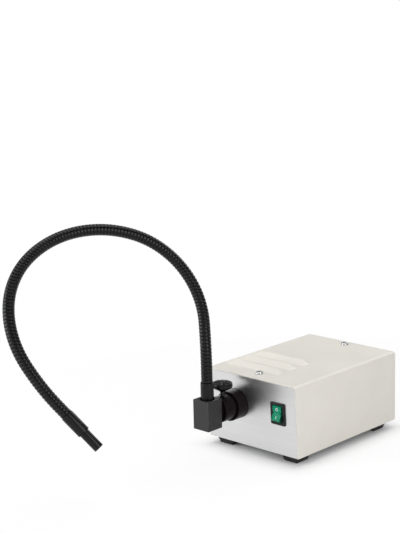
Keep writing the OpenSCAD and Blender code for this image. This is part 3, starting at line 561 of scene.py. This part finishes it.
def neck_sides():
    """For each step along the neck: the point, and two directions across it that never twist."""
    rows = []
    across = Vector((1, 0, 0))
    for k in range(LINK_STEPS * LINK_COUNT + 1):
        point, along = neck_point(k * PITCH / RIB_STEPS)
        across = (across - along * across.dot(along)).normalized()
        rows.append((point, across.copy(), along.cross(across)))
    return rows


NECK = neck_sides()


def hose_ring(k, r):
    """A ring of points round the neck at step k."""
    point, a, b = NECK[k]
    turns = [2 * math.pi * i / HOSE_SIDES for i in range(HOSE_SIDES)]
    return [point + r * (math.cos(t) * a + math.sin(t) * b) for t in turns]


def rib(k):
    """Radius of the ribbed skin at step k: flat crests, and a narrow groove at each whole pitch."""
    u = k % RIB_STEPS / RIB_STEPS
    return RIB_R - (RIB_R - GROOVE_R) * abs(2 * u - 1) ** 6


def hose_piece(first, last):
    """The closed ribbed tube from step to step."""
    outside = [hose_ring(k, rib(k)) for k in range(first, last + 1)]
    bore = [hose_ring(k, BORE_R) for k in range(last, first - 1, -RIB_STEPS // 2)]
    if (last - first) % (RIB_STEPS // 2):
        bore.append(hose_ring(first, BORE_R))
    return shell(outside + bore, loop=True)


# Each skin runs from the middle of one link to the middle of the next, and bends at their joint
for k in range(LINK_COUNT + 1):
    first = max(LINK_STEPS * k - LINK_STEPS // 2, 0)
    last = min(LINK_STEPS * k + LINK_STEPS // 2, LINK_STEPS * LINK_COUNT)
    skin = make(f"neck_skin_{k}", [hose_piece(first, last)], "hose_black")
    if k in (0, LINK_COUNT):
        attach(skin, f"neck_{max(k, 1)}")
    else:
        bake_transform(skin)
    if k:
        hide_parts(f"neck_hose_{k}")


def lathed(name, profile, place, body, node):
    """A ring-shaped turned part in place of a CAD node."""
    make(name, [shell(rings_of(circle(96), profile), True, place)], "tip_black", body, [node])


def ferrule():
    """A plain sleeve with a fine groove under its collar."""
    low, high, middle = extent("neck_ferrule")
    outer, top = (high.x - low.x) / 2, high.z
    groove, collar = outer - 0.25, outer - 0.1
    wall = [(FITTING_BORE_R, low.z), (outer, low.z), (outer, top - 2.4), (groove, top - 2.1),
            (groove, top - 1.7), (collar, top - 1.4), (collar, top), (FITTING_BORE_R, top)]
    lathed("ferrule_sleeve", eased(wall, 0.45, closed=True), on_z(middle.x, middle.y),
           "neck_1", "neck_ferrule")


def tip():
    """A sleeve, and in it a nose with a chamfered rim."""
    seat, end = SLEEVE_L - NOSE_DEPTH, SLEEVE_L + NOSE_L
    sleeve_bore, plug = NOSE_R - 0.34, NOSE_R - 0.4
    sleeve = [(FITTING_BORE_R, 0), (SLEEVE_R, 0), (SLEEVE_R, SLEEVE_L), (sleeve_bore, SLEEVE_L),
              (sleeve_bore, seat), (FITTING_BORE_R, seat)]
    lathed("tip_sleeve_turned", eased(sleeve, 0.45, closed=True), TIP, "neck_8", "tip_sleeve")
    nose = [(NOSE_BORE_R, seat + 0.1), (plug, seat + 0.1), (plug, SLEEVE_L), (NOSE_R, SLEEVE_L),
            (NOSE_R, end), (NOSE_R - 1, end), (NOSE_R - 1.5, end - 0.6), (NOSE_BORE_R, end - 0.6)]
    lathed("tip_nose_turned", eased(nose, 0.4, closed=True), TIP, "neck_8", "tip_nose")


ferrule()
tip()

# ---------------------------------------------------------------- elbow, port and clamp

soften(elbow_block=0.35, port_ring=0.4, guide_socket=0.35, guide_spigot=0.3)


def knob():
    """A cone below, a thick rim with shallow lobes, and a star of flutes on the crown."""
    lobes, sides = 8, 192
    lobe_depth, flute_depth = 0.42, 1.4
    low, high, middle = extent("clamp_knob")
    hub_r, rim_r = 4.1, (high.y - low.y) / 2
    hub, base, top, crown = low.z, low.z + 5.5, high.z - 1.2, 1.2
    profile = eased([(0.3, hub), (hub_r, hub), (hub_r, hub + 0.8), (rim_r - 1.6, base - 0.2),
                     (rim_r, base + 1.6), (rim_r, top - 2.0), (rim_r - 1.5, top - 0.2),
                     (rim_r - 3.4, top + 0.1), (6.0, top + 0.75 * crown), (2.6, top + crown),
                     (0.3, top + crown)], 1.5, 5)
    rings = []
    for r, z in profile:
        rim = max(min((r - 9.0) / 3.0, 1.0), 0.0) * (1.0 if z > base - 0.5 else 0.5)
        on_crown = 1.0 if z > top - 0.3 and 2.8 < r < rim_r - 1.2 else 0.0
        ring = []
        for k in range(sides):
            t = 2 * math.pi * k / sides
            wave = 0.5 + 0.5 * math.cos(lobes * t)
            reach = r - lobe_depth * wave ** 1.6 * rim
            dip = flute_depth * wave ** 3 * on_crown
            ring.append(Vector((reach * math.cos(t), reach * math.sin(t), z - dip)))
        rings.append(ring)
    make("clamp_knob_moulded", [shell(rings, place=on_z(middle.x, middle.y))],
         "knob_plastic", "clamp_knob", ["clamp_knob"], sharp=60)


knob()

# ---------------------------------------------------------------- housing

soften(cover=0.5, front_panel=0.4, rear_panel=0.3)

FOOT_TOP, FOOT_SOLE, FOOT_H = 30.0, 21.5, 12.0
RECESS_R, RECESS_TOP = 4.0, 7.6


def foot(node):
    """A tapered square foot, its sole recessed for the screw."""
    _, _, middle = extent(node)
    outline = box_outline(FOOT_TOP, FOOT_TOP, 2.2, 7)
    round_way = [Vector(p).normalized() for p in outline(0)]
    hole = [[Vector((d.x * r, d.y * r, z)) for d in round_way]
            for r, z in ((RECESS_R, RECESS_TOP), (RECESS_R, 0.9), (RECESS_R + 0.6, 0.0))]
    inset = (FOOT_TOP - FOOT_SOLE) / 2
    side = eased([(inset + 1.7, 0.0), (inset, 0.0), (0.15, FOOT_H - 1), (0.0, FOOT_H),
                  (3.0, FOOT_H)], 0.8)
    make(node + "_moulded", [shell(hole + rings_of(outline, side), place=on_z(middle.x, middle.y))],
         "foot_rubber", "housing", [node])


FEET = ("foot_front_left", "foot_front_right", "foot_rear_left", "foot_rear_right")
for node in FEET:
    foot(node)


def screw_head(radius, height, stand):
    """A domed pan head with a cross recess, its seat at the origin of stand."""
    dome = eased([(0.02, 0.0), (radius, 0.0), (radius, 0.35 * height),
                  (0.86 * radius, 0.78 * height), (0.5 * radius, 0.97 * height),
                  (0.02, height)], 0.5)
    slot = box_outline(radius * 1.15, 0.95, 0.2, 2)(0)
    rings = [[Vector((x * taper, y * taper, h)) for x, y in slot]
             for taper, h in ((0.35, 0.25 * height), (1.0, 1.1 * height))]
    cross = [shell(rings, place=turned(angle, "Z")) for angle in (0, 90)]
    return carved([shell(rings_of(circle(48), dome))], cross, stand)


def screws(name, node, seats, head, shank, facing=UP):
    """The screws of a CAD node: a seat is x, y, z and the turn of its cross, and head and shank
    are each a radius and a length."""
    skins = []
    for x, y, z, turn in seats:
        at = Matrix.Translation((x, y, z)) @ facing
        radius, length = shank
        skins += [screw_head(*head, at @ turned(turn, "Z")),
                  shell(rings_of(circle(24), [(radius, -length), (radius, 0.05)]), place=at)]
    make(name, skins, SLOT_OF[node], "housing", [node], sharp=30)


screws("cover_screw_heads", "cover_screws", [(0, -91, COVER_TOP, 20), (0, 97.5, COVER_TOP, 52)],
       (5.3, 3.4), (2.0, 7))
middles = [extent(node)[2] for node in FEET]
screws("foot_screw_heads", "foot_screws",
       [(m.x, m.y, 8.0, turn) for m, turn in zip(middles, (15, 63, 40, 8))],
       (3.0, 2.2), (1.9, 9.9), DOWN)

# ---------------------------------------------------------------- rear: fan, guard and mains inlet

REAR_Y, WIRE, FAN_HOLE, EYE_R = 110.0, 1.6, 35.75, 3.1
FAN_X, FAN_Z, FAN_Y0, FAN_Y1 = PORT_X, 61.5, 83.5, 108.5
FAN_HUB, FAN_SPAN, BLADES = 15.6, 37.2, 7
INLET_X, INLET_Z = 46.0, 45.0
FAN_CORNERS = [(FAN_X + side * FAN_HOLE, FAN_Z + up * FAN_HOLE)
               for side in (-1, 1) for up in (-1, 1)]


def wire_ring(x, z, radius):
    """A round wire bent to a ring flat on the rear panel."""
    middle = Vector((x, REAR_Y + WIRE / 2, z))
    rings = []
    for dx, dz in circle(80)(1.0):
        out = Vector((dx, 0, dz))
        rings.append([middle + out * (radius + a) + Vector((0, b, 0))
                      for a, b in circle(10)(WIRE / 2)])
    return shell(rings, loop=True)


def wire_bar(turn):
    """A straight wire across the guard, from eye to eye."""
    reach = FAN_HOLE * math.sqrt(2) - EYE_R - 0.1
    ends = [(WIRE / 2 - 0.3, -reach), (WIRE / 2, 0.3 - reach), (WIRE / 2, reach - 0.3),
            (WIRE / 2 - 0.3, reach)]
    middle = Matrix.Translation((FAN_X, REAR_Y + WIRE / 2, FAN_Z))
    return shell(rings_of(circle(10), ends), place=middle @ turned(turn, "Y"))


wires = [wire_ring(FAN_X, FAN_Z, k * FAN_SPAN / 4) for k in (1, 2, 3, 4)]
wires += [wire_bar(45), wire_bar(135)]
wires += [wire_ring(x, z, EYE_R) for x, z in FAN_CORNERS]
make("fan_guard_wires", wires, SLOT_OF["fan_guard"], "housing", ["fan_guard"])
screws("fan_screw_heads", "fan_screws",
       [(x, REAR_Y + WIRE, z, turn) for (x, z), turn in zip(FAN_CORNERS, (12, 70, 35, 84))],
       (3.8, 2.6), (2.0, 28.1), BACK)


def blade(turn):
    """A fan blade: a thin cambered section that sweeps and widens outwards."""
    middle_y, half_y = (FAN_Y0 + FAN_Y1 - 4) / 2, 9.3
    at = Matrix.Translation((FAN_X, middle_y, FAN_Z)) @ turned(turn, "Y")
    loop = [(k / 8 - 1, 1) for k in range(16)] + [(1 - k / 8, -1) for k in range(16)]
    rings = []
    for step in range(11):
        u = step / 10
        r = FAN_HUB - 0.4 + (FAN_SPAN - FAN_HUB + 0.2) * u
        half_z = 6.4 + 1.7 * u
        sweep = 3.4 * u * u
        ring = []
        for s, side in loop:
            camber = 1.5 * (1 - s * s)
            thick = 0.16 + 0.62 * math.sqrt(max(1 - s * s, 0.0))
            z = half_z * s + camber - sweep + side * thick
            ring.append(Vector((math.sqrt(max(r * r - z * z, 1.0)), half_y * s, z)))
        rings.append(ring)
    return shell(rings, place=at)


def fan_rotor():
    """A hub with a dished front, its blades, and the spindle behind it."""
    front, back = FAN_Y0 + 0.8, FAN_Y1 - 4.8
    hub = eased([(0.5, FAN_Y0 + 1.4), (9.0, FAN_Y0 + 1.4), (10.0, front), (FAN_HUB, front),
                 (FAN_HUB, back), (0.5, back)], 1.4, 4)
    spindle = [(1.5, FAN_Y1 - 5), (1.5, FAN_Y1 - 0.5)]
    skins = [shell(rings_of(circle(72), hub), place=on_y(FAN_X, FAN_Z)),
             shell(rings_of(circle(20), spindle), place=on_y(FAN_X, FAN_Z))]
    skins += [blade(360 / BLADES * k) for k in range(BLADES)]
    make("fan_rotor_moulded", skins, SLOT_OF["fan_rotor"], "fan_rotor", ["fan_rotor"])


fan_rotor()


def inlet():
    """A flanged socket with a bevelled mouth above the slot of the fuse drawer."""
    box = (27.4, 32.0, 0.8, [(0, 93.0), (0, REAR_Y)])
    flange = (50.0, 36.0, 3.0, [(0, REAR_Y), (0, 112.1), (0.25, 112.75), (0.8, 113.0)])

    def mouth(grow):
        side, low, high, cut = 12.0 + grow, -2.7 - grow, 13.7 + grow, 4.6
        return [(side, low), (side, high - cut), (side - cut, high),
                (cut - side, high), (-side, high - cut), (-side, low)]

    drawer_z, drawer_w, drawer_h, screw_x = -11.5, 20.3, 7.7, 20
    screw_hole = rings_of(circle(32), [(1.7, 109.0), (1.7, 112.2), (2.5, 113.1)])
    cuts = [shell(rings_of(mouth, [(0, 97.0), (0, 112.3), (0.9, 113.2)])),
            shell(rings_of(box_outline(drawer_w, drawer_h, 0.3, 2), [(0, 95.0), (0, 114.0)]),
                  place=Matrix.Translation((0, drawer_z, 0)))]
    cuts += [shell(screw_hole, place=Matrix.Translation((x, 0, 0))) for x in (-screw_x, screw_x)]
    make("inlet_moulded", [carved([shell(stacked(box, flange))], cuts, on_y(INLET_X, INLET_Z))],
         SLOT_OF["inlet_socket"], "housing", ["inlet_socket"])


inlet()
soften(fan_frame=0.4, inlet_pins=0.3, fuse_drawer=0.25, base_pan=0.25)

# ---------------------------------------------------------------- switch

SWITCH_X, SWING = 48, 28.0
SWITCH = Matrix.Translation((SWITCH_X, front_y(PORT_Z), PORT_Z)) @ Matrix.Rotation(LEAN, 4, "X")
LAID = on_y(0, 0)


def bezel():
    """Rounded bezel, box behind it and an open well, as one skin."""
    box = (21.4, 27.4, 0.8, [(0, 20.0), (0, 0.0)])
    rim = (25.0, 31.5, 2.2, [(0, 0.0), (0, -1.1), (0.2, -1.6), (0.7, -1.95), (1.2, -2.0),
                             (2.4, -2.0), (2.8, -1.75), (3.3, -1.7)])
    well = (15.2, 24.0, 0.8, [(-0.6, -1.7), (-0.2, -1.5), (0, -1.1), (0, 12.0)])
    make("switch_bezel", [shell(stacked(box, rim, well), place=SWITCH @ LAID)],
         "switch_black", "housing", ["switch_body"])


bezel()
PIVOT = SWITCH @ Matrix.Translation((0, 2, 0))
TILT = turned(-SWING / 2, "X")
SLOPE = math.radians(SWING / 2)
VALLEY, REACH, ROCKER_W, NOTCH_R = -4.95, 11.7, 14.6, 2.0
BROW_Z = 9.2
BROW = VALLEY - BROW_Z * math.tan(SLOPE)


def on_reach(start, end, steps):
    """Points on the arc that the rocker's ends run on, from angle to angle round the pivot."""
    for k in range(steps + 1):
        t = math.radians(start + (end - start) * k / steps)
        yield -REACH * math.cos(t), REACH * math.sin(t)


def rocker():
    """Two faces that meet in a shallow valley, with a notch on each side of it."""
    end = [*on_reach(math.degrees(math.atan2(BROW_Z, -BROW)), 100, 6), (5, 4)]
    side = eased([(VALLEY, 0), *end, *[(y, -z) for y, z in reversed(end)]], 0.5, closed=True)
    middle = Vector((-0.5, 0))
    slices = ((-1, 0.4), (-0.985, 0.12), (-0.95, 0.0), (0.95, 0.0), (0.985, 0.12), (1, 0.4))
    rings = []
    for x, shrink in slices:
        ring = []
        for p in side:
            v = Vector(p) - middle
            v = v * (1 - shrink / max(v.length, 1e-6))
            ring.append(Vector((x * ROCKER_W / 2, middle.x + v.x, middle.y + v.y)))
        rings.append(ring)
    notches = []
    for left_right in (-1, 1):
        middle_x = left_right * (ROCKER_W / 2 + 0.6)
        notches.append(shell([[Vector((middle_x + x, y, z)) for x, z in circle(24)(NOTCH_R)]
                              for y in (-9.0, -2.4)]))
    make("rocker_moulded", [carved([shell(rings)], notches, PIVOT @ TILT)],
         "rocker_green", "rocker", ["switch_rocker"], sharp=40)


rocker()
MARK_Z, SUNK, SHOULDER, FACE = 5.4, 0.15, -0.1, -0.16


def rocker_mark(name, sign, draw):
    """A raised mark on the rocker's upper half (sign 1) or lower half (sign -1)."""
    face_y = VALLEY - MARK_Z * math.tan(SLOPE)
    place = PIVOT @ TILT @ Matrix.Translation((0, face_y, sign * MARK_Z)) @ \
        Matrix.Rotation(sign * SLOPE, 4, "X") @ LAID
    make(name, [draw(place)], "rocker_green", "rocker", finish="mark_white")


def ring_mark(place):
    """The ring for off."""
    band = [(1.5, SUNK), (1.5, SHOULDER), (1.6, FACE), (2.1, FACE), (2.2, SHOULDER), (2.2, SUNK)]
    return shell(rings_of(circle(48), band), True, place)


def bar_mark(place):
    """The bar for on."""
    bar = [(0, SUNK), (0, SHOULDER), (0.1, FACE)]
    return shell(rings_of(box_outline(0.7, 4.4, 0.25, 3), bar), place=place)


rocker_mark("rocker_mark_off", 1, ring_mark)
rocker_mark("rocker_mark_on", -1, bar_mark)

# ---------------------------------------------------------------- finishes of the CAD nodes

for name, obj in CAD.items():
    obj.data.materials.clear()
    obj.data.materials.append(FINISH[SLOT_OF[name]])
    for face in obj.data.polygons:
        face.material_index = 0

# ---------------------------------------------------------------- floor, light and camera


# Where the floor's plain white takes over, in metres beside the housing and from its middle
BESIDE_START, BESIDE_END, BESIDE_SHARE = -0.014, 0.034, 0.84
AWAY_START, AWAY_END = 0.18, 0.6


def floor():
    """A white floor: shaded under the housing, mostly plain beside it, all plain far off."""
    half, level = 30.0, -0.00005
    mesh = bpy.data.meshes.new("floor")
    mesh.from_pydata([(-half, -half, level), (half, -half, level), (half, half, level),
                      (-half, half, level)], [], [(0, 1, 2, 3)])
    obj = add("floor", mesh)
    s = Shader("floor_white")
    here = s.node("NewGeometry").outputs["Position"]
    away = s.node("VectorMath", {0: here}, operation="LENGTH").outputs["Value"]
    split = s.node("SeparateXYZ", {0: here}).outputs
    beside = s.math("MAXIMUM", *[s.math("SUBTRACT", s.math("ABSOLUTE", split[k]), size / 2 * MM)
                                 for k, size in enumerate((BODY_W, BODY_D))])
    plain = s.math("MAXIMUM", s.ramp(beside, BESIDE_START, BESIDE_END, 0.0, BESIDE_SHARE),
                   s.ramp(away, AWAY_START, AWAY_END))
    diffuse = s.node("BsdfDiffuse", {"Color": (0.92, 0.92, 0.92, 1)}).outputs[0]
    white = s.node("Emission", {"Color": (1, 1, 1, 1), "Strength": 1.0}).outputs[0]
    mix = s.node("MixShader", {0: s.math("MULTIPLY", plain, s.seen()), 1: diffuse, 2: white})
    s.tree.nodes.remove(s.bsdf)
    s.put(s.out.inputs["Surface"], mix.outputs[0])
    mesh.materials.append(s.material)


floor()


def sky():
    """Plain studio surroundings: a white horizon that dims overhead, and is softer as a light."""
    world = bpy.data.worlds.new("studio")
    bpy.context.scene.world = world
    world.use_nodes = True
    s = Nodes(world.node_tree)
    up = s.node("SeparateXYZ", {0: s.node("TexCoord").outputs["Generated"]}).outputs["Z"]
    as_light = s.ramp(up, 0.05, 0.34, 0.4, 0.15)
    as_seen = s.ramp(up, 0.06, 0.22, 1.0, 0.2)
    strength = s.node("Mix", {0: s.seen(), 2: as_light, 3: as_seen}).outputs[0]
    back = s.node("Background", {"Color": (1, 1, 1, 1), "Strength": strength})
    s.node("OutputWorld", {"Surface": back.outputs[0]})


sky()


def softbox(name, place, target, width, height, glow):
    """A rectangular area lamp that faces its target: glow is its brightness, seen from there."""
    lamp = bpy.data.lights.new(name, "AREA")
    lamp.shape, lamp.size, lamp.size_y = "RECTANGLE", width, height
    lamp.energy = glow * math.pi * width * height
    obj = add(name, lamp)
    obj.location = place
    obj.rotation_euler = (Vector(target) - Vector(place)).to_track_quat("-Z", "Y").to_euler()


softbox("overhead", (-0.3, 0.3, 1.9), (0, 0, 0.05), 1.8, 1.8, 1.95)
softbox("left", (-1.22, -1.40, 0.85), (0, -0.1, 0.3), 1.2, 1.4, 4.1)
softbox("right", (0.95, -0.38, 0.62), (0, -0.03, 0.2), 0.65, 0.75, 3.3)
softbox("back", (-0.1, 1.6, 1.25), (0, 0, 0.1), 1.0, 0.5, 5.0)
softbox("front", (0.2, -2.0, 0.9), (0, 0, 0.1), 2.4, 1.2, 0.9)

# The photo's camera, solved from the housing's edges: its place in metres, its angles in degrees
CAMERA_PLACE = (1.25777, -1.52655, 0.68484)
AZIMUTH, PITCH_DOWN, ROLL = (math.radians(angle) for angle in (43.550, 12.476, -1.373))
LENS, SENSOR = 98.56, 36.0


def camera():
    """A camera that looks along its azimuth, down by its pitch, and rolled about its view."""
    ahead = math.cos(PITCH_DOWN)
    forward = Vector((-math.sin(AZIMUTH) * ahead, math.cos(AZIMUTH) * ahead, -math.sin(PITCH_DOWN)))
    level = Vector((math.cos(AZIMUTH), math.sin(AZIMUTH), 0))
    up = level.cross(forward)
    right = math.cos(ROLL) * level + math.sin(ROLL) * up
    top = -math.sin(ROLL) * level + math.cos(ROLL) * up
    data = bpy.data.cameras.new("camera")
    data.lens, data.sensor_width, data.sensor_fit = LENS, SENSOR, "AUTO"
    data.clip_end = 200.0
    obj = add("camera", data)
    obj.matrix_world = Matrix.Translation(CAMERA_PLACE) @ \
        Matrix((right, top, -forward)).transposed().to_4x4()
    bpy.context.scene.camera = obj


camera()
bpy.context.scene.view_settings.view_transform = "Standard"
